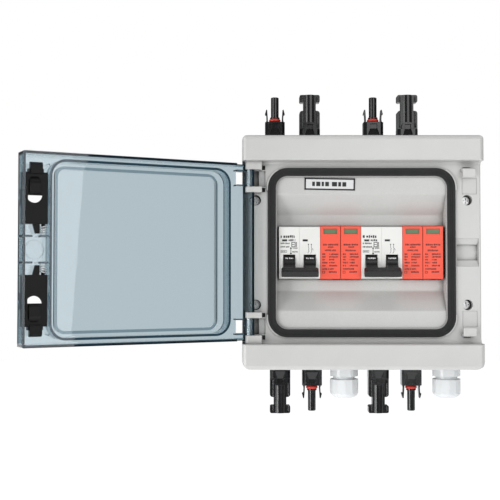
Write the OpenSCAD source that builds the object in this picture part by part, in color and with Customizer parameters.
// Surface-mounted DC combiner box: a two-shell enclosure with a transparent door on a left-hand
// hinge, eight modules of breakers and surge arresters on a rail, and plug connectors and cable
// glands through the top and bottom walls.
//
// Frame: origin at the centre of the back face, +X to the right, +Z up, the front faces -Y.
// A "depth" is a distance from the wall, measured towards the front, so y = -depth.

/* [Enclosure] */
// Overall width
box_w = 206; // [205:0.5:208]
// Overall height
box_h = 200; // [199:0.5:202]
// Depth of the back shell, where the cover seats on it
split_d = 58; // [57:0.5:59]
// Depth of the front plane of the two full-width bands
box_d = 95; // [95:0.5:96]
// Depth of the recessed flange between the bands
flange_d = 80; // [79.5:0.1:80]
// Height of each band
band_h = 21.85; // [21.5:0.05:22]
// Wall thickness of the moulded shells
wall_t = 2.5; // [2.2:0.1:2.8]

/* [Door] */
// Width of the door
door_w = 200; // [199:0.5:200]
// Height of the door
door_h = 151; // [150:0.5:152]
// Thickness of the door's front plate
plate_t = 2.5; // [2.2:0.1:2.6]
// How far the window panel stands out of the plate
bulge_t = 3; // [2:0.5:4]
// Angle that the door stands open, from closed
door_open = 152; // [0:1:158]
// Distance from the hinge pin to the door's edge
hinge_in = 2.6; // [2.5:0.1:2.8]
// Distance from the hinge pin to the door's front plane
hinge_back = 9.1; // [9:0.1:9.3]

/* [Modular devices] */
// Width of one module
module_w = 17.8; // [17.5:0.1:17.8]
// Height of the device nose that shows in the window
nose_h = 45; // [44.6:0.1:45]
// Depth of the nose's front plane
nose_d = 76.5; // [76:0.1:77]
// Tilt of the breaker toggles in the off position, below straight out
toggle_tilt = 34; // [32:1:35]

/* [Connectors] */
// Depth of the connector and gland axes
conn_d = 47; // [46:0.5:47]
// Height of a socket connector above the wall
socket_h = 41.9; // [41:0.1:42]
// Height of a plug connector above the wall
plug_h = 39.9; // [39:0.1:40]
// Height of a cable gland above the wall
gland_h = 28.3; // [28:0.1:29]

/* [Hidden] */
$fn = 64;

// Colours
shell_grey = [0.80, 0.80, 0.78];
smoke_blue = [0.55, 0.66, 0.70, 0.5];
black = [0.06, 0.06, 0.07];
device_white = [0.92, 0.92, 0.90];
device_red = [0.96, 0.33, 0.28];
steel = [0.75, 0.76, 0.78];

// Gap between pieces that meet with a running or assembly clearance
gap = 0.3;
// A little more than nothing, for cuts that pass a face
over = 1;

// Enclosure
band_z = box_h / 2 - band_h;
corner_top = 5;
corner_low = 8;
band_r = 4;
seal_w = 1;
seal_h = 0.8;
screw_x = 91.3;
screw_z = 45.2;
screw_recess_r = 4.5;
screw_seat_d = 69;

// Gasket ring and the tray inside it
gasket_w = 161.6;
gasket_h = 145.8;
gasket_r = 17;
gasket_t = 6.7;
gasket_seat_d = flange_d - 2;
gasket_top_d = flange_d + 2;
tray_w = gasket_w - 2 * gasket_t - 2;
tray_h = gasket_h - 2 * gasket_t - 2;
tray_r = gasket_r - gasket_t - 1;
tray_t = 2.2;
tray_shelf_d = flange_d - 1.5;
tray_floor_d = 64.4;
slope_out_z = 50.5;
slope_in_z = 33.4;
window_w = 8 * module_w + 1.2;
window_h = nose_h + 2.6;

// Door and hinge
hinge_x = -door_w / 2 + hinge_in;
hinge_d = box_d - hinge_back;
skirt_t = 2.2;
door_back_d = flange_d + 0.7;
plate_in_d = box_d - plate_t;
knuckle_r = hinge_in;
pin_r = 1.25;
ear_r = 2.9;
knuckle_lo = 56.7;
knuckle_hi = 70.5;
ear_lo = [51.4, 56.2];
ear_hi = [71.0, band_z + 0.5];
rib_ring_w = gasket_w - gasket_t + 2;
rib_ring_h = gasket_h - gasket_t + 2;

// Latches; heights are those of the upper one
latch_x0 = 79.2;
latch_x1 = 96.8;
latch_lo = 19.6;
latch_hi = 59.5;
latch_back_d = 84.5;
tab_x0 = 83.8;
tab_x1 = 93.4;
tab_hi = 67.2;
catch_x0 = 85.8;
catch_x1 = 96.8;
spring_x = 81.7;
spring_d = 88.2;
stop_rib_z = 10.2;

// Rail and devices
rail_web_d = 10;
rail_lip_d = 17.5;
rail_screw_x = 80;
back_d = rail_lip_d + 0.1;
shoulder_d = 61.3;
breaker_x = [-3, 1] * module_w;
surge_x = [-1, 3] * module_w;
breaker_top = 40.5;
surge_top = 45;
term_d = 39.5;
toggle_z = -8.3;
toggle_d = 72;
drum_r = 6.4;
wire_r = 1.9;

// Connectors, from left to right
outlet_x = [-74, -42.9, 14, 44.5];
inlet_x = [-69.6, -41.2, 17.9, 47.3];
gland_x = [-12.4, 78.9];
shank_r = 8;
gland_thread_r = 9.95;
tube_r = 3.5;
mouth_r = 4.8;

// ---- Placing and 2D helpers ----

// A front-view (X, Z) outline, extruded from depth d0 to d1
module slab(d0, d1)
    translate([0, -d0, 0]) rotate([90, 0, 0]) linear_extrude(d1 - d0) children();

// A side-view (depth, Z) outline, extruded along X
module across(x0, x1)
    translate([x0, 0, 0]) rotate([90, 0, 90]) linear_extrude(x1 - x0) mirror([1, 0]) children();

// A top-view (X, depth) outline, extruded along Z
module upright(z0, z1)
    translate([0, 0, z0]) linear_extrude(z1 - z0) mirror([0, 1]) children();

module area(x0, x1, y0, y1)
    translate([x0, y0]) square([x1 - x0, y1 - y0]);

module block(x0, x1, d0, d1, z0, z1)
    translate([x0, -d1, z0]) cube([x1 - x0, d1 - d0, z1 - z0]);

module rod_out(x, z, r, d0, d1)
    translate([x, -d0, z]) rotate([90, 0, 0]) cylinder(r = r, h = d1 - d0);

module rod_up(x, d, r, z0, z1)
    translate([x, -d, z0]) cylinder(r = r, h = z1 - z0);

module rod_across(d, z, r, x0, x1)
    translate([x0, -d, z]) rotate([0, 90, 0]) cylinder(r = r, h = x1 - x0);

// Both the part as drawn and its reflection above or below the middle
module both_ends() {
    children();
    mirror([0, 0, 1]) children();
}

// Rectangle centred on the origin, with its own corner radius at the top and at the bottom
module outline(w, h, rt, rb) {
    area(-w / 2, w / 2, -h / 2 + rb, h / 2 - rt);
    area(-w / 2 + rt, w / 2 - rt, 0, h / 2);
    area(-w / 2 + rb, w / 2 - rb, -h / 2, 0);
    for (s = [-1, 1]) {
        translate([s * (w / 2 - rt), h / 2 - rt]) circle(rt);
        translate([s * (w / 2 - rb), -h / 2 + rb]) circle(rb);
    }
}

module round_box(x0, x1, y0, y1, r)
    translate([(x0 + x1) / 2, (y0 + y1) / 2]) outline(x1 - x0, y1 - y0, r, r);

// Rectangle from y = y0 to y1 whose two upper corners are rounded
module capped(x0, x1, y0, y1, r) {
    area(x0, x1, y0, y1 - r);
    area(x0 + r, x1 - r, y0, y1);
    for (x = [x0 + r, x1 - r])
        translate([x, y1 - r]) circle(r);
}

function unit(v) = v / norm(v);
function turned(v, a) = [v.x * cos(a) - v.y * sin(a), v.x * sin(a) + v.y * cos(a)];

// Points of the arc of radius r that rounds corner p between its neighbours a and b
function corner(a, p, b, r, n = 5) =
    let (u = unit(a - p), v = unit(b - p), half = acos(u * v) / 2)
    let (c = p + unit(u + v) * r / sin(half), s = p + u * r / tan(half) - c)
    let (side = u.x * v.y - u.y * v.x > 0 ? -1 : 1)
    [for (i = [0:n]) c + turned(s, side * (180 - 2 * half) * i / n)];

// An outline with each corner rounded by its own radius, 0 leaving it sharp
function rounded(pts, radii) = [
    for (i = [0:len(pts) - 1])
        let (a = pts[(i + len(pts) - 1) % len(pts)], b = pts[(i + 1) % len(pts)])
        each (radii[i] > 0 ? corner(a, pts[i], b, radii[i]) : [pts[i]])
];

// ---- Enclosure ----

module panel_holes(grow) {
    for (x = outlet_x)
        rod_up(x, conn_d, shank_r + grow, box_h / 2 - wall_t - over, box_h / 2 + over);
    for (x = inlet_x)
        rod_up(x, conn_d, shank_r + grow, -box_h / 2 - over, -box_h / 2 + wall_t + over);
    for (x = gland_x)
        rod_up(x, conn_d, gland_thread_r + grow, -box_h / 2 - over, -box_h / 2 + wall_t + over);
}

module seal_ring(d0, d1, grow) {
    inset = wall_t - seal_w;
    difference() {
        slab(d0, d1)
            outline(box_w - inset + grow, box_h - inset + grow, corner_top - inset / 2,
                corner_low - inset / 2);
        slab(d0 - over, d1 + over)
            outline(box_w - inset - 2 * seal_w - grow, box_h - inset - 2 * seal_w - grow,
                corner_top - inset / 2 - seal_w, corner_low - inset / 2 - seal_w);
    }
}

module shell_cavity(d0, d1)
    slab(d0, d1)
        outline(box_w - 2 * wall_t, box_h - 2 * wall_t, corner_top - wall_t, corner_low - wall_t);

wall_hole_x = 78;
wall_hole_z = 78;
wall_hole_r = 2.6;

module back_box() {
    boss_r = 4.2;
    color(shell_grey) difference() {
        union() {
            difference() {
                slab(0, split_d) outline(box_w, box_h, corner_top, corner_low);
                shell_cavity(wall_t, split_d + over);
            }
            // cover screw columns, each tied to the side wall by a web
            for (sx = [-1, 1], sz = [-1, 1]) {
                rod_out(sx * screw_x, sz * screw_z, boss_r, wall_t / 2, split_d);
                translate([sx * (screw_x + boss_r), 0, 0])
                    block(-5, 5, wall_t / 2, split_d - 4, sz * screw_z - 1, sz * screw_z + 1);
            }
            // rail pads
            for (sx = [-1, 1])
                rod_out(sx * rail_screw_x, 0, 6, wall_t / 2, rail_web_d);
            // raised rings round the wall fixing holes
            for (sx = [-1, 1], sz = [-1, 1])
                rod_out(sx * wall_hole_x, sz * wall_hole_z, 5.5, wall_t / 2, wall_t + 2.5);
        }
        for (sx = [-1, 1], sz = [-1, 1]) {
            rod_out(sx * screw_x, sz * screw_z, 1.8, 30, split_d + over);
            rod_out(sx * wall_hole_x, sz * wall_hole_z, wall_hole_r, -over, wall_t + 5);
        }
        for (sx = [-1, 1])
            rod_out(sx * rail_screw_x, 0, 2, wall_t + 0.5, rail_web_d + over);
        panel_holes(0.15);
        seal_ring(split_d - seal_h, split_d + over, 0);
    }
}

// Side view of one band's front, and the fillet at its foot
module band_section() {
    inner_r = 1.5;
    foot_r = 2.4;
    top = box_h / 2;
    area(split_d, box_d - band_r, band_z, top);
    area(split_d, box_d, band_z + inner_r, top - band_r);
    area(split_d, box_d - inner_r, band_z, top - band_r);
    translate([box_d - band_r, top - band_r]) circle(band_r);
    translate([box_d - inner_r, band_z + inner_r]) circle(inner_r);
    difference() {
        area(flange_d - over, flange_d + foot_r, band_z - foot_r, band_z + over);
        translate([flange_d + foot_r, band_z - foot_r]) circle(foot_r);
    }
}

module cover_skin() {
    edge_r = 1.2;
    intersection() {
        slab(split_d, box_d) outline(box_w, box_h, corner_top, corner_low);
        across(-box_w / 2, box_w / 2) {
            band_section();
            mirror([0, 1]) band_section();
        }
        upright(-box_h / 2, box_h / 2) capped(-box_w / 2, box_w / 2, split_d, box_d, band_r);
    }
    upright(-band_z - over, band_z + over)
        capped(-box_w / 2, box_w / 2, split_d, flange_d, edge_r);
}

module cover_cavity() {
    inside = box_h / 2 - wall_t;
    intersection() {
        shell_cavity(split_d - over, box_d - wall_t);
        across(-box_w / 2, box_w / 2) {
            area(split_d - over, flange_d - wall_t, -inside, inside);
            for (s = [-1, 1])
                mirror([0, s < 0 ? 1 : 0])
                    area(split_d - over, box_d - wall_t, band_z + wall_t, inside);
        }
    }
}

// Front surface of the tray in side view: shelf, slope, floor, slope, shelf
module tray_section(back, half_h) {
    shelf = tray_shelf_d - back;
    floor_d = tray_floor_d - back;
    out_z = slope_out_z + back * 0.5;
    in_z = slope_in_z + back * 0.5;
    front = box_d + 20;
    polygon(rounded(
        [[front, half_h], [shelf, half_h], [shelf, out_z], [floor_d, in_z],
         [floor_d, -in_z], [shelf, -out_z], [shelf, -half_h], [front, -half_h]],
        [0, 0, 2.5, 3, 3, 2.5, 0, 0]));
}

module tray_walls() {
    intersection() {
        slab(tray_floor_d - tray_t, flange_d)
            outline(tray_w + 2 * tray_t, tray_h + 2 * tray_t, tray_r + tray_t, tray_r + tray_t);
        across(-tray_w, tray_w) tray_section(tray_t, tray_h / 2 + tray_t);
    }
}

module tray_opening() {
    intersection() {
        slab(tray_floor_d - 10, box_d + 10) outline(tray_w, tray_h, tray_r, tray_r);
        across(-tray_w, tray_w) tray_section(0, tray_h / 2);
    }
    slab(tray_floor_d - 10, tray_floor_d + 10) outline(window_w, window_h, 0.8, 0.8);
}

module gasket_ring(d0, d1, grow) {
    inner_w = gasket_w - 2 * gasket_t;
    inner_h = gasket_h - 2 * gasket_t;
    difference() {
        slab(d0, d1) outline(gasket_w + grow, gasket_h + grow, gasket_r, gasket_r);
        slab(d0 - over, d1 + over)
            outline(inner_w - grow, inner_h - grow, gasket_r - gasket_t, gasket_r - gasket_t);
    }
}

// Thin lip that stands round the gasket, left out along the middle of its two sides
module gasket_lip() {
    lip = 1.2;
    stop_z = 53.5;
    low_z = 71.5;
    difference() {
        union() {
            slab(flange_d - over, flange_d + 0.4)
                outline(gasket_w + 2 * lip, gasket_h + 2 * lip, gasket_r + lip, gasket_r + lip);
            slab(flange_d - over, flange_d + 1.8) intersection() {
                outline(gasket_w + 2 * lip, gasket_h + 2 * lip, gasket_r + lip, gasket_r + lip);
                area(-box_w, box_w, -low_z, low_z);
            }
        }
        slab(flange_d - 2 * over, flange_d + 5) outline(gasket_w, gasket_h, gasket_r, gasket_r);
        block(-box_w, box_w, flange_d, flange_d + 5, -stop_z, stop_z);
    }
}

// One hinge's two ears: an arm round the pin from a block on the flange
module hinge_ears() {
    for (ear = [ear_lo, ear_hi]) {
        upright(ear[0], ear[1]) {
            round_box(hinge_x + 3.9, -86, flange_d - 1.5, hinge_d + ear_r, 1);
            area(hinge_x, hinge_x + 5, hinge_d - ear_r, hinge_d + ear_r);
            translate([hinge_x, hinge_d]) circle(ear_r);
        }
    }
}

// A catch: a post on the flange with a lip that the latch tab slips behind
module door_catch() {
    across(catch_x0, catch_x1)
        polygon(rounded(
            [[flange_d - 1, 69.6], [87, 69.6], [87, 64.2], [89.2, 64.2], [89.2, 72],
             [flange_d - 1, 72]],
            [0, 0.5, 0.3, 1.2, 1, 0]));
}

// Finger pocket in the right flange, with a sloped step above and below
module flange_pocket_cut() {
    across(81.6, 101)
        polygon([[flange_d + 1, 12], [flange_d - 0.4, 12], [flange_d - 2.2, 7.4],
            [flange_d - 2.2, -7.4], [flange_d - 0.4, -12], [flange_d + 1, -12]]);
    block(82.4, 100.4, flange_d - 5, flange_d + 1, -6.9, 6.9);
}

module front_cover() {
    relief_x = -96.6;
    relief_d = 75.8;
    color(shell_grey) difference() {
        union() {
            difference() {
                cover_skin();
                cover_cavity();
            }
            tray_walls();
            // seat under the gasket and the lips beside it
            difference() {
                slab(flange_d - 4.6, flange_d)
                    outline(gasket_w + 3, gasket_h + 3, gasket_r + 1.5, gasket_r + 1.5);
                slab(flange_d - 6, flange_d + over)
                    outline(tray_w + 1, tray_h + 1, tray_r + 0.5, tray_r + 0.5);
            }
            gasket_lip();
            both_ends() {
                hinge_ears();
                door_catch();
            }
            for (sx = [-1, 1], sz = [-1, 1])
                rod_out(sx * screw_x, sz * screw_z, 6.2, split_d, flange_d);
            // metal-saving walls behind the pockets and the step at the hinge side
            block(80.4, 102, flange_d - 10, flange_d - 2, -13.5, 13.5);
            block(-box_w / 2 + 1.2, relief_x + 2.4, relief_d - 2.4, flange_d - 1.2, -band_z, band_z);
            both_ends() block(-94.6, -81.4, flange_d - 9.5, flange_d - 2, ear_lo[0] - 1, band_z);
        }
        tray_opening();
        gasket_ring(gasket_seat_d, flange_d + over, 0);
        flange_pocket_cut();
        for (sx = [-1, 1], sz = [-1, 1]) {
            rod_out(sx * screw_x, sz * screw_z, screw_recess_r, screw_seat_d, flange_d + over);
            rod_out(sx * screw_x, sz * screw_z, 2.1, split_d - over, screw_seat_d + over);
        }
        // step that the door's edge swings into
        block(-box_w / 2 - over, relief_x, relief_d, flange_d + over, -door_h / 2 - 0.6,
            door_h / 2 + 0.6);
        both_ends() {
            for (ear = [ear_lo, ear_hi])
                rod_up(hinge_x, hinge_d, pin_r, ear[0] - over, min(ear[1], 76.6));
            // the pocket between the ears, and the small pockets beside them
            block(-93.3, -88.6, flange_d - 7, flange_d + over, knuckle_lo, knuckle_hi);
            block(-93.3, -83, flange_d - 1.6, flange_d + over, knuckle_lo, knuckle_hi);
            block(-86.4, -83.2, flange_d - 7, flange_d + 0.01, knuckle_hi + 0.8, knuckle_hi + 4.6);
            block(-86.4, -83.2, flange_d - 7, flange_d + 0.01, knuckle_lo - 4.6, knuckle_lo - 0.8);
            // slit behind the catch and the shallow field that the latch slides over
            block(87.6, 93.6, flange_d - 1.6, flange_d + over, 72.2, 73.6);
            block(86.9, 99.6, flange_d - 0.5, flange_d + over, 50.4, 64);
        }
        seal_ring(split_d - over, split_d + seal_h, 0);
    }
}

module cover_seal()
    color(black) seal_ring(split_d - seal_h, split_d + seal_h, 0);

module cross_slot(w, l, h) {
    translate([-w / 2, -l / 2, -h]) cube([w, l, h + over]);
    translate([-l / 2, -w / 2, -h]) cube([l, w, h + over]);
}

// Screw standing out of the wall: origin under its head, head towards the front
module screw(head_r, head_t, shank, length) {
    rotate([90, 0, 0]) difference() {
        union() {
            cylinder(r = head_r, h = head_t - 0.6);
            cylinder(r = head_r - 0.5, h = head_t);
            translate([0, 0, -length]) cylinder(r = shank, h = length + 0.5);
        }
        translate([0, 0, head_t]) cross_slot(head_r * 0.3, head_r * 1.3, 1.6);
    }
}

module cover_screws()
    color(steel)
        for (sx = [-1, 1], sz = [-1, 1])
            translate([sx * screw_x, -screw_seat_d, sz * screw_z]) screw(3.7, 3, 1.75, 36);

// ---- Door, drawn closed and turned to its open position ----

module on_hinge() {
    translate([hinge_x, -hinge_d, 0]) rotate([0, 0, -door_open])
        translate([-hinge_x, hinge_d, 0]) children();
}

module door_shell() {
    corner_r = 1.6;
    edge_r = 1.2;
    bulge_w = 143;
    bulge_h = 132.4;
    intersection() {
        slab(door_back_d, box_d) outline(door_w, door_h, corner_r, corner_r);
        across(-door_w / 2, door_w / 2) rotate(-90) mirror([1, 0]) mirror([0, 1]) mirror([0, 1])
            capped(-door_h / 2, door_h / 2, door_back_d, box_d, edge_r);
        upright(-door_h / 2, door_h / 2)
            capped(-door_w / 2, door_w / 2, door_back_d, box_d, edge_r);
    }
    intersection() {
        slab(box_d - 1, box_d + bulge_t) outline(bulge_w, bulge_h, 9, 9);
        upright(-bulge_h / 2, bulge_h / 2)
            capped(-bulge_w / 2, bulge_w / 2, box_d - 1, box_d + bulge_t, 2.4);
    }
}

module rib_ring() {
    difference() {
        slab(gasket_top_d + 0.3, plate_in_d + 0.5) outline(rib_ring_w, rib_ring_h, 13.6, 13.6);
        slab(gasket_top_d - over, plate_in_d + 2)
            outline(rib_ring_w - 4, rib_ring_h - 4, 11.6, 11.6);
    }
}

// Cuts the skirt away round the ears at one end of the door
module ear_notches() {
    for (ear = [ear_lo, ear_hi])
        block(-door_w / 2 - over, -83.5, door_back_d - over, hinge_d + 3.3, ear[0] - 0.4,
            min(ear[1], door_h / 2 + over) + 0.4);
}

module door() {
    ring_out = rib_ring_w / 2;
    skirt_in = door_w / 2 - skirt_t;
    color(smoke_blue) on_hinge() difference() {
        union() {
            difference() {
                door_shell();
                slab(door_back_d - over, plate_in_d)
                    outline(door_w - 2 * skirt_t, door_h - 2 * skirt_t, 0.6, 0.6);
                slab(plate_in_d - over, box_d + bulge_t - plate_t) outline(138, 127.6, 6.5, 6.5);
            }
            rib_ring();
            both_ends() {
                // hinge knuckle, blended into the skirt and the plate
                rod_up(hinge_x, hinge_d, knuckle_r, knuckle_lo, knuckle_hi);
                block(-door_w / 2, hinge_x + 0.6, hinge_d, plate_in_d + 0.5, knuckle_lo, knuckle_hi);
                // ribs that the latch springs push on, and the latch's side guides
                for (x = [[ring_out - 0.5, 84.4], [91.4, skirt_in + 0.5]])
                    block(x[0], x[1], 83.4, plate_in_d + 0.5, stop_rib_z - 0.8, stop_rib_z + 0.8);
                for (z = [23, 53, 66])
                    block(ring_out - 0.5, ring_out + 0.3, 84, plate_in_d + 0.5, z - 0.6, z + 0.6);
                for (x = [[ring_out - 0.5, latch_x0 - gap], [latch_x1 + gap, skirt_in + 0.5]])
                    block(x[0], x[1], 83.6, plate_in_d + 0.5, 33.5, 46.5);
                // gussets from the knuckle to the plate
                for (z = [knuckle_lo, knuckle_hi - 1.1])
                    block(hinge_x, -86, hinge_d - 0.8, plate_in_d + 0.5, z, z + 1.1);
            }
            // sighting ring moulded on the inside, between the latches
            difference() {
                rod_out(87.4, 0, 7.65, plate_in_d - 0.9, plate_in_d + 0.5);
                rod_out(87.4, 0, 7.15, plate_in_d - 2, plate_in_d);
            }
        }
        both_ends() {
            ear_notches();
            rod_up(hinge_x, hinge_d, pin_r + 0.06, knuckle_lo - over, knuckle_hi + over);
            // shut-off opening beside the knuckle
            block(-96.6, -88.4, plate_in_d - over, box_d + over, knuckle_lo + 1.1,
                knuckle_hi - 1.1);
            // finger opening over the latch
            slab(plate_in_d - over, box_d + over) round_box(80.7, 94.3, 35.4, 56, 5);
        }
    }
}

module door_gasket() {
    groove_w = 2.4;
    mid = gasket_t;
    color(black) difference() {
        gasket_ring(gasket_seat_d, gasket_top_d, 0);
        difference() {
            slab(gasket_top_d - 0.7, gasket_top_d + over)
                outline(gasket_w - mid + groove_w, gasket_h - mid + groove_w,
                    gasket_r - (mid - groove_w) / 2, gasket_r - (mid - groove_w) / 2);
            slab(gasket_top_d - 2, gasket_top_d + 2)
                outline(gasket_w - mid - groove_w, gasket_h - mid - groove_w,
                    gasket_r - (mid + groove_w) / 2, gasket_r - (mid + groove_w) / 2);
        }
    }
}

module hinge_pins()
    color(steel) both_ends()
        rod_up(hinge_x, hinge_d, pin_r, ear_lo[0] + 0.2, 76.4);

// Sliding latch of the upper end, in the closed door's place
module latch_upper_shape() {
    side_t = 1.6;
    cup_x = 89.7;
    rail_d = plate_in_d - gap;
    difference() {
        union() {
            // plate towards the wall, and the two sides that run on the door
            block(latch_x0, latch_x1, latch_back_d, latch_back_d + 2, latch_lo, latch_hi);
            for (x = [latch_x0, latch_x1 - side_t])
                block(x, x + side_t, latch_back_d + 1, rail_d, latch_lo, latch_hi);
            block(latch_x0, latch_x1, latch_back_d, rail_d, latch_hi - 2.2, latch_hi);
            block(latch_x0, latch_x1, latch_back_d, rail_d, latch_lo, latch_lo + 1.8);
            // domed finger cup with an arched top
            intersection() {
                slab(80, latch_back_d + 1) capped(cup_x - 4.4, cup_x + 4.4, 42.9, 56.6, 4.3);
                across(cup_x - 5, cup_x + 5)
                    polygon(rounded(
                        [[latch_back_d + 1, 42.9], [81.4, 42.9], [81.4, 51.5],
                         [latch_back_d + 1, 57.4]],
                        [0, 1.2, 4, 0]));
            }
            // stepped tab that goes behind the catch
            block(tab_x0 - 1, tab_x1 + 1, latch_back_d - 1, rail_d - 3, latch_hi - 1, latch_hi + 2.6);
            across(tab_x0, tab_x1)
                polygon(rounded(
                    [[82.2, latch_hi - 1], [82.2, tab_hi - 2], [84, tab_hi], [86.6, tab_hi],
                     [86.6, latch_hi - 1]],
                    [0, 0.5, 0.5, 0.5, 0]));
            // tongue inside the spring
            rod_up(spring_x, spring_d, 1.5, 16.4, latch_lo + 1);
            slab(86, 88.4)
                polygon([[85, latch_lo + 1], [90.4, latch_lo + 1], [90.4, latch_lo], [88.4, 12.2],
                    [85, 12.2]]);
        }
        // finger opening through to the front, and the hollow of the cup
        slab(latch_back_d - over, rail_d) intersection() {
            translate([cup_x, 42.3]) circle(6.5);
            area(latch_x0, latch_x1 - side_t - 0.4, latch_lo, 41.6);
        }
        block(cup_x - 3.2, cup_x + 3.2, 83, rail_d + over, 44.2, 51.8);
    }
}

module latch_spring_shape() {
    turns = 4;
    coil_r = 2.4;
    strand_r = 0.5;
    z0 = stop_rib_z + 0.9 + strand_r;
    half_rise = (latch_lo - 0.1 - strand_r - z0) / (2 * turns);
    tilt = asin(half_rise / (2 * coil_r));
    // half turns tilted so that each one ends where the next begins
    for (i = [0:2 * turns - 1])
        translate([spring_x, -spring_d, z0 + (i + 0.5) * half_rise])
            rotate([0, i % 2 == 0 ? tilt : -tilt, 0]) rotate([0, 0, i * 180])
                rotate_extrude(angle = 180) translate([coil_r, 0]) circle(strand_r, $fn = 16);
}

module latch_upper()
    color(black) on_hinge() latch_upper_shape();

module latch_lower()
    color(black) on_hinge() mirror([0, 0, 1]) latch_upper_shape();

module latch_spring_upper()
    color(steel) on_hinge() latch_spring_shape();

module latch_spring_lower()
    color(steel) on_hinge() mirror([0, 0, 1]) latch_spring_shape();

module name_label()
    color("white")
        translate([-27.3, 0, 59.2]) rotate([0, 1, 0])
            slab(tray_shelf_d, tray_shelf_d + 0.5) round_box(-21.9, 21.9, -5.3, 5.3, 0.6);

// ---- Rail and devices ----

module din_rail() {
    half = 88;
    slot_l = 5;
    color(steel) difference() {
        across(-half, half) {
            area(rail_web_d, rail_web_d + 1, -13.5, 13.5);
            for (s = [0, 1])
                mirror([0, s]) {
                    area(rail_web_d, rail_lip_d, 12.5, 13.5);
                    area(rail_lip_d - 1, rail_lip_d, 12.5, 17.5);
                }
        }
        for (x = [-rail_screw_x, rail_screw_x, -40, 0, 40])
            slab(rail_web_d - over, rail_web_d + 2)
                round_box(x - slot_l, x + slot_l, -2.6, 2.6, 2.5);
    }
}

module rail_screws()
    color(steel)
        for (s = [-1, 1])
            translate([s * rail_screw_x, -(rail_web_d + 1), 0]) screw(4, 2.6, 1.9, 7);

// Side view of a modular device: back on the rail, shoulders, and the nose
module device_section(half_h, nose_half) {
    polygon(rounded(
        [[back_d, half_h], [shoulder_d, half_h], [shoulder_d, nose_half], [nose_d, nose_half],
         [nose_d, -nose_half], [shoulder_d, -nose_half], [shoulder_d, -half_h], [back_d, -half_h]],
        [1, 2.5, 0, 0.8, 0.8, 0, 2.5, 1]));
}

// Fixed hook over the rail's upper lip
module rail_hook(x0, x1) {
    block(x0, x1, 14.2, back_d + 1, 17.7, 23);
    block(x0, x1, 14.2, rail_lip_d - 1.1, 15.4, 18);
}

module terminal_cut(x, half_h) {
    block(x - 5, x + 5, 33.5, 46.2, half_h - 12.6, half_h + over);
    rod_out(x, half_h - 7, 3.2, 46, shoulder_d + over);
}

// Cage clamp and its screw, for the terminal at the upper end
module terminal_shape(x, half_h) {
    difference() {
        block(x - 4.7, x + 4.7, 34, 45.8, half_h - 12.2, half_h - 2.4);
        block(x - 4.3, x + 4.3, term_d - 2.2, term_d + 2.2, half_h - 9, half_h);
    }
    translate([x, -51, half_h - 7]) screw(2.9, 3, 2, 6);
}

module breaker_housing(xc) {
    pole_w = module_w - 0.1;
    color(device_white)
        for (s = [-1, 1]) {
            x = xc + s * module_w / 2;
            difference() {
                union() {
                    across(x - pole_w / 2, x + pole_w / 2)
                        device_section(breaker_top, nose_h / 2);
                    rail_hook(x - pole_w / 2 + 1, x + pole_w / 2 - 1);
                }
                both_ends() terminal_cut(x, breaker_top);
                // slot and drum chamber of the toggle
                rod_across(toggle_d, toggle_z, drum_r + 0.5, x - 5.3, x + 5.3);
                block(x - 5.3, x + 5.3, toggle_d, nose_d + over, toggle_z - 6.6, toggle_z + 6.6);
                // contact position window
                block(x - 6.2, x - 1.7, nose_d - 2, nose_d + over, 9.7, 11.5);
            }
        }
}

// Linked toggles in the off position
module breaker_toggle(xc) {
    arm_t = 4.6;
    tie_r = 17.6;
    color(black)
        translate([0, -toggle_d, toggle_z]) rotate([toggle_tilt, 0, 0]) {
            for (s = [-1, 1])
                translate([xc + s * module_w / 2, 0, 0]) {
                    rod_across(0, 0, drum_r, -4.9, 4.9);
                    across(-4.9, 4.9)
                        polygon(rounded(
                            [[2, -arm_t / 2], [tie_r, -arm_t / 2], [tie_r, arm_t / 2],
                             [2, arm_t / 2]],
                            [0, 0.8, 0.8, 0]));
                }
            // bar that ties the two arms, its ends cut off at the corners
            intersection() {
                across(xc - 15.9, xc + 15.9)
                    polygon(rounded(
                        [[tie_r - 5.2, -3.8], [tie_r - 3, -4.6], [tie_r + 0.8, -3.4],
                         [tie_r + 0.8, 2.9], [tie_r - 5.2, 3.2]],
                        [0.8, 1.4, 1.2, 1.2, 0.8]));
                slab(tie_r - 6, tie_r + 2) translate([xc, 0])
                    polygon([[-15.9, -2.7], [-14, -4.7], [14, -4.7], [15.9, -2.7],
                        [15.9, 1.6], [14.3, 3.3], [-14.3, 3.3], [-15.9, 1.6]]);
            }
        }
}

module breaker_flags(xc)
    color([0.1, 0.45, 0.2])
        for (s = [-1, 1]) {
            x = xc + s * module_w / 2;
            block(x - 6.1, x - 1.8, nose_d - 1.9, nose_d - 0.7, 9.8, 11.4);
        }

module breaker_terminals(xc)
    color(steel)
        for (s = [-1, 1])
            both_ends() terminal_shape(xc + s * module_w / 2, breaker_top);

// Slider that grips the rail's lower lip
module rail_clip(xc, half_h) {
    color(black)
        block(xc - 6, xc + 6, 14.2, back_d - gap, -half_h - 3.5, -18);
    color(black)
        block(xc - 6, xc + 6, 14.2, rail_lip_d - 1 - gap, -18.5, -15.2);
}

module surge_base(xc) {
    pole_w = module_w - 0.1;
    bay_h = nose_h / 2 + 0.8;
    color(device_white)
        for (s = [-1, 1]) {
            x = xc + s * module_w / 2;
            difference() {
                union() {
                    across(x - pole_w / 2, x + pole_w / 2)
                        polygon(rounded(
                            [[back_d, surge_top], [shoulder_d, surge_top],
                             [shoulder_d, -surge_top], [back_d, -surge_top]],
                            [1, 2.5, 2.5, 1]));
                    rail_hook(x - pole_w / 2 + 1, x + pole_w / 2 - 1);
                }
                both_ends() terminal_cut(x, surge_top);
                // bay for the plug-in cartridge, and its two contact slots
                block(x - pole_w, x + pole_w, 30, shoulder_d + over, -bay_h, bay_h);
                both_ends() block(x - 1.2, x + 1.2, 22, 31, 13, 19);
            }
        }
}

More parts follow.
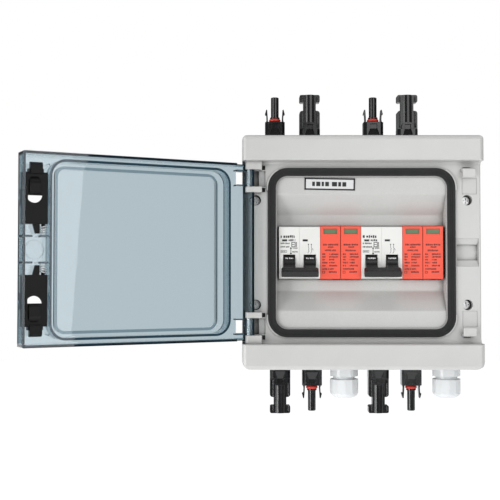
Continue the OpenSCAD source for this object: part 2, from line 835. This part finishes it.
module surge_cartridge(x) {
    w = module_w - 0.5;
    half = nose_h / 2 + 0.5;
    color(device_red) difference() {
        across(x - w / 2, x + w / 2)
            polygon(rounded([[30.3, half], [nose_d, half], [nose_d, -half], [30.3, -half]],
                [1, 0.8, 0.8, 1]));
        block(x - 5.9, x + 5.9, nose_d - 2, nose_d + over, 16.1, 20.7);
        // finger grips near both ends of the sides
        both_ends()
            for (s = [-1, 1])
                rod_out(x + s * (w / 2 + 0.7), 19.6, 1.1, nose_d - 6, nose_d - 1.5);
    }
    // contact blades
    color(steel) both_ends() block(x - 0.5, x + 0.5, 23, 30.4, 14, 18);
}

module surge_flag(x)
    color([0.25, 0.5, 0.33])
        block(x - 5.8, x + 5.8, nose_d - 1.95, nose_d - 0.9, 16.2, 20.6);

module surge_terminals(xc)
    color(steel)
        for (s = [-1, 1])
            both_ends() terminal_shape(xc + s * module_w / 2, surge_top);

// ---- Connectors and glands, drawn on the top wall with z = 0 at its outer face ----

module on_wall(x, side)
    translate([x, -conn_d, side * box_h / 2]) rotate([0, side > 0 ? 0 : 180, 0]) children();

// A front-view outline extruded in depth, t thick, centred on the connector's axis
module leaf(t)
    translate([0, t / 2, 0]) rotate([90, 0, 0]) linear_extrude(t) children();

shank_l = 16;
contact_bore_r = 2.35;

module threaded_shank(r, l)
    translate([0, 0, -l]) {
        cylinder(r = r, h = l + 1.2);
        for (i = [0:1])
            translate([0, 0, 2 + i * 2]) cylinder(r = r + 0.1, h = 0.8);
    }

// Square foot with its four upright edges cut off, w wide and t deep
module connector_foot(w, t, h) {
    cut = 2.6;
    translate([0, 0, 1])
        linear_extrude(h - 1)
            polygon([[-w / 2 + cut, -t / 2], [w / 2 - cut, -t / 2], [w / 2, -t / 2 + cut],
                [w / 2, t / 2 - cut], [w / 2 - cut, t / 2], [-w / 2 + cut, t / 2],
                [-w / 2, t / 2 - cut], [-w / 2, -t / 2 + cut]]);
}

// Recess with a sloping floor in both broad faces of a foot, t thick: wide at z0, narrow above z1
module foot_recess(t, w0, w1, z0, z1, z2) {
    deep = 2;
    for (s = [0, 1])
        mirror([0, s, 0]) intersection() {
            leaf(3 * t)
                polygon([[-w0 / 2, z0], [w0 / 2, z0], [w1 / 2, z1], [w1 / 2, z2], [-w1 / 2, z2],
                    [-w1 / 2, z1]]);
            translate([-w0, 0, 0]) rotate([90, 0, 90]) linear_extrude(2 * w0)
                polygon([[-t, z0], [-t / 2, z0], [deep - t / 2, z1], [deep - t / 2, z2 + 1],
                    [-t, z2 + 1]]);
        }
}

module socket_connector(x, side) {
    w = 18.1;
    head_z = socket_h - 6.9;
    wing_z = head_z - 7.3;
    color(black) on_wall(x, side) difference() {
        union() {
            threaded_shank(shank_r, shank_l);
            connector_foot(w, 15.6, 11);
            leaf(8.4) {
                capped(-w / 2, w / 2, 5, wing_z, 2.6);
                round_box(-w / 2, w / 2, head_z, socket_h, 1.6);
                area(-5.5, 5.5, wing_z - 2, head_z + 2);
            }
            leaf(15) capped(-5.4, 5.4, 5, 17, 3.6);
            cylinder(r = 5.75, h = socket_h);
        }
        // mouth, bore of the mating tube, and the contact's bore
        translate([0, 0, socket_h - 6]) cylinder(r = mouth_r, h = 6 + over);
        translate([0, 0, 16]) cylinder(r = 3.7, h = socket_h);
        translate([0, 0, -shank_l - over]) cylinder(r = contact_bore_r, h = socket_h);
        // grooves that leave the wings standing beside the tube
        for (sx = [-1, 1], sy = [-1, 1])
            translate([sx * 6.8, sy * 4.6, 12.5]) cylinder(r = 0.9, h = wing_z);
        foot_recess(15, 9, 5.4, 4.5, 11, 15);
    }
}

// One hooked arm, on the +X side, in front view
module latch_arm_outline()
    polygon(rounded(
        [[6.1, 15], [8.5, 15], [7.5, 19.5], [7.7, 23.8], [8.9, 24.7], [7.7, 29.2], [6.9, 28.6],
         [6.4, 22]],
        [0, 0.5, 3, 0.3, 0.3, 0.4, 0.4, 4]));

module plug_connector(x, side) {
    w = 17.5;
    foot_h = 17.3;
    color(black) on_wall(x, side) difference() {
        union() {
            threaded_shank(shank_r, shank_l);
            connector_foot(w, 15, foot_h);
            leaf(5.4)
                for (s = [0, 1])
                    mirror([s, 0]) latch_arm_outline();
            cylinder(r = tube_r, h = plug_h - 0.4);
            cylinder(r = tube_r - 0.4, h = plug_h);
            translate([0, 0, 17]) cylinder(r = 4.1, h = 0.8);
            translate([0, 0, 20.7]) cylinder(r = 4.3, h = 1.2);
        }
        translate([0, 0, -shank_l - over]) cylinder(r = contact_bore_r, h = plug_h + 30);
        foot_recess(15, 10.4, 6.2, 5.5, 11.5, 15.6);
    }
}

module on_each(xs, side)
    for (x = xs)
        on_wall(x, side) children();

module on_all_connectors() {
    on_each(outlet_x, 1) children();
    on_each(inlet_x, -1) children();
}

outlet_plugs = [outlet_x[0], outlet_x[2]];
outlet_sockets = [outlet_x[1], outlet_x[3]];
inlet_sockets = [inlet_x[0], inlet_x[2]];
inlet_plugs = [inlet_x[1], inlet_x[3]];

module hex_nut(flats, bore_r, z0, h) {
    translate([0, 0, z0]) difference() {
        cylinder(r = flats / 2 / cos(30), h = h, $fn = 6);
        translate([0, 0, -over]) cylinder(r = bore_r, h = h + 2 * over);
    }
}

module connector_nuts()
    color(black) on_all_connectors()
        hex_nut(19.6, shank_r + 0.12, -wall_t - 6, 6);

module connector_seals()
    color(black) on_all_connectors()
        difference() {
            cylinder(r = 9, h = 0.98);
            translate([0, 0, -over]) cylinder(r = shank_r + 0.05, h = 3);
        }

module plug_tip_seal()
    translate([0, 0, 19.2]) rotate_extrude() {
        translate([tube_r + 0.02, -1.3]) square([0.5, 2.6]);
        translate([tube_r + 0.4, 0]) intersection() {
            circle(1.3);
            translate([0, -2]) square([3, 4]);
        }
    }

module plug_tip_seals()
    color([0.75, 0.15, 0.13]) {
        on_each(outlet_plugs, 1) plug_tip_seal();
        on_each(inlet_plugs, -1) plug_tip_seal();
    }

// Socket contacts inside the plug connectors' tubes
module contact_tube()
    difference() {
        translate([0, 0, -12]) cylinder(r = 2.2, h = plug_h + 10.5);
        translate([0, 0, plug_h - 18]) cylinder(r = 1.5, h = 20);
    }

// Pin contacts inside the socket connectors
module contact_pin() {
    translate([0, 0, -12]) cylinder(r = 2.2, h = 24);
    translate([0, 0, 10]) cylinder(r = 1.45, h = socket_h - 18);
    translate([0, 0, socket_h - 8]) sphere(r = 1.45);
}

module contact_tubes()
    color(steel) {
        on_each(outlet_plugs, 1) contact_tube();
        on_each(inlet_plugs, -1) contact_tube();
    }

module contact_pins()
    color(steel) {
        on_each(outlet_sockets, 1) contact_pin();
        on_each(inlet_sockets, -1) contact_pin();
    }

gland_bore_r = 7;
cap_z = 11.8;

module gland_bodies()
    color("white") on_each(gland_x, -1)
        difference() {
            union() {
                translate([0, 0, -10]) cylinder(r = gland_thread_r, h = 12);
                intersection() {
                    cylinder(r = 22.6 / 2 / cos(30), h = 9.2, $fn = 6);
                    cylinder(r = 12.3, h = 9.2);
                }
                cylinder(r = 9.6, h = 20.5);
            }
            translate([0, 0, -11]) cylinder(r = gland_bore_r, h = 40);
        }

module gland_cap_body()
    rotate_extrude() {
        difference() {
            union() {
                square([12.7, gland_h - cap_z - 6]);
                translate([0, gland_h - cap_z - 6.5]) square([6.7, 6.5]);
                translate([6.7, gland_h - cap_z - 6]) circle(6);
            }
            translate([-10, -over]) square([16.4, 40]);
            translate([-10, -over]) square([19.8, gland_h - cap_z - 5]);
            translate([-20, -20]) square([19.9, 60]);
        }
    }

module gland_caps()
    color("white") on_each(gland_x, -1)
        translate([0, 0, cap_z]) intersection() {
            gland_cap_body();
            cylinder(r = 24.4 / 2 / cos(15), h = gland_h, $fn = 12);
        }

module gland_inserts()
    color(black) on_each(gland_x, -1)
        difference() {
            union() {
                translate([0, 0, 8]) cylinder(r = gland_bore_r - 0.05, h = 12.5);
                translate([0, 0, 20.5]) cylinder(r = 6.2, h = 6.3);
            }
            translate([0, 0, 5]) cylinder(r = 4.5, h = 40);
        }

module gland_locknuts()
    color("white") on_each(gland_x, -1)
        hex_nut(24, gland_thread_r + 0.05, -wall_t - 5, 5);

// ---- Wires: each is a chain of straights [length] and bends [angle, radius, roll] ----

module wire(steps, i = 0) {
    if (i < len(steps)) {
        step = steps[i];
        if (len(step) == 1) {
            cylinder(r = wire_r, h = step[0]);
            translate([0, 0, step[0]]) wire(steps, i + 1);
        } else {
            rotate([0, 0, step[2]]) {
                translate([step[1], 0, 0]) rotate([90, 0, 180])
                    rotate_extrude(angle = step[0]) translate([step[1], 0]) circle(wire_r);
                translate([step[1] * (1 - cos(step[0])), 0, step[1] * sin(step[0])])
                    rotate([0, step[0], 0]) wire(steps, i + 1);
            }
        }
    }
}

lead_end_z = box_h / 2 - 12.2;
lead_start_z = breaker_top - 2.3;

// Straight lengths between points, each inner point being a ball that rounds the elbow
module strand(points) {
    for (i = [1:len(points) - 1]) {
        step = points[i] - points[i - 1];
        translate(points[i - 1])
            rotate([0, acos(step.z / norm(step)), atan2(step.y, step.x)])
                cylinder(r = wire_r, h = norm(step));
    }
    for (i = [1:len(points) - 2])
        translate(points[i]) sphere(r = wire_r + 0.2);
}

// From the breaker terminal at x0 to the connector at x1, on the upper side
module lead(x0, x1)
    strand([
        [x0, -term_d, lead_start_z],
        [x0, -term_d, lead_start_z + 13],
        [x1, -conn_d, lead_end_z - 14],
        [x1, -conn_d, lead_end_z]
    ]);

// From the terminal at x0 up, back, across and down into the one at x1
module jumper(x0, x1, z0, z1, rise) {
    bend_r = 8;
    translate([x0, -term_d, z0])
        wire([[rise], [90, bend_r, 90], [90, bend_r, -90], [x1 - x0 - 2 * bend_r],
              [90, bend_r, 0], [90, bend_r, 90], [rise + z0 - z1]]);
}

pole = [for (i = [0:7]) (i - 3.5) * module_w];
shared = 2.3;
surge_entry_z = surge_top - 2.3;

module wires_positive()
    color([0.75, 0.1, 0.08]) {
        lead(pole[0] - shared, outlet_x[0]);
        lead(pole[4] + shared, outlet_x[2]);
        jumper(pole[0] + shared, pole[2], lead_start_z, surge_entry_z, 9);
        jumper(pole[4] - shared, pole[6], lead_start_z, surge_entry_z, 9);
        mirror([0, 0, 1]) {
            lead(pole[0], inlet_x[0]);
            lead(pole[4], inlet_x[2]);
        }
    }

module wires_negative()
    color(black) {
        lead(pole[1] + shared, outlet_x[1]);
        lead(pole[5] + shared, outlet_x[3]);
        jumper(pole[1] - shared, pole[3], lead_start_z, surge_entry_z, 17);
        jumper(pole[5] - shared, pole[7], lead_start_z, surge_entry_z, 17);
        mirror([0, 0, 1]) {
            lead(pole[1], inlet_x[1]);
            lead(pole[5], inlet_x[3]);
        }
    }

module wire_earth()
    color([0.35, 0.65, 0.15])
        mirror([0, 0, 1]) jumper(pole[3], pole[6], surge_entry_z, surge_entry_z, 10);

back_box();
front_cover();
cover_seal();
cover_screws();
door();
door_gasket();
hinge_pins();
latch_upper();
latch_lower();
latch_spring_upper();
latch_spring_lower();
name_label();
din_rail();
rail_screws();
breaker_housing(breaker_x[0]);  // breaker_1_housing
breaker_toggle(breaker_x[0]);  // breaker_1_toggle
breaker_flags(breaker_x[0]);  // breaker_1_flags
breaker_terminals(breaker_x[0]);  // breaker_1_terminals
rail_clip(breaker_x[0], breaker_top);  // breaker_1_rail_clip
breaker_housing(breaker_x[1]);  // breaker_2_housing
breaker_toggle(breaker_x[1]);  // breaker_2_toggle
breaker_flags(breaker_x[1]);  // breaker_2_flags
breaker_terminals(breaker_x[1]);  // breaker_2_terminals
rail_clip(breaker_x[1], breaker_top);  // breaker_2_rail_clip
surge_base(surge_x[0]);  // surge_1_base
surge_cartridge(pole[2]);  // surge_1_cartridge_left
surge_cartridge(pole[3]);  // surge_1_cartridge_right
surge_flag(pole[2]);  // surge_1_flag_left
surge_flag(pole[3]);  // surge_1_flag_right
surge_terminals(surge_x[0]);  // surge_1_terminals
rail_clip(surge_x[0], surge_top);  // surge_1_rail_clip
surge_base(surge_x[1]);  // surge_2_base
surge_cartridge(pole[6]);  // surge_2_cartridge_left
surge_cartridge(pole[7]);  // surge_2_cartridge_right
surge_flag(pole[6]);  // surge_2_flag_left
surge_flag(pole[7]);  // surge_2_flag_right
surge_terminals(surge_x[1]);  // surge_2_terminals
rail_clip(surge_x[1], surge_top);  // surge_2_rail_clip
plug_connector(outlet_x[0], 1);  // outlet_1_plug
socket_connector(outlet_x[1], 1);  // outlet_1_socket
plug_connector(outlet_x[2], 1);  // outlet_2_plug
socket_connector(outlet_x[3], 1);  // outlet_2_socket
socket_connector(inlet_x[0], -1);  // inlet_1_socket
plug_connector(inlet_x[1], -1);  // inlet_1_plug
socket_connector(inlet_x[2], -1);  // inlet_2_socket
plug_connector(inlet_x[3], -1);  // inlet_2_plug
connector_nuts();
connector_seals();
plug_tip_seals();
contact_tubes();
contact_pins();
gland_bodies();
gland_caps();
gland_inserts();
gland_locknuts();
wires_positive();
wires_negative();
wire_earth();
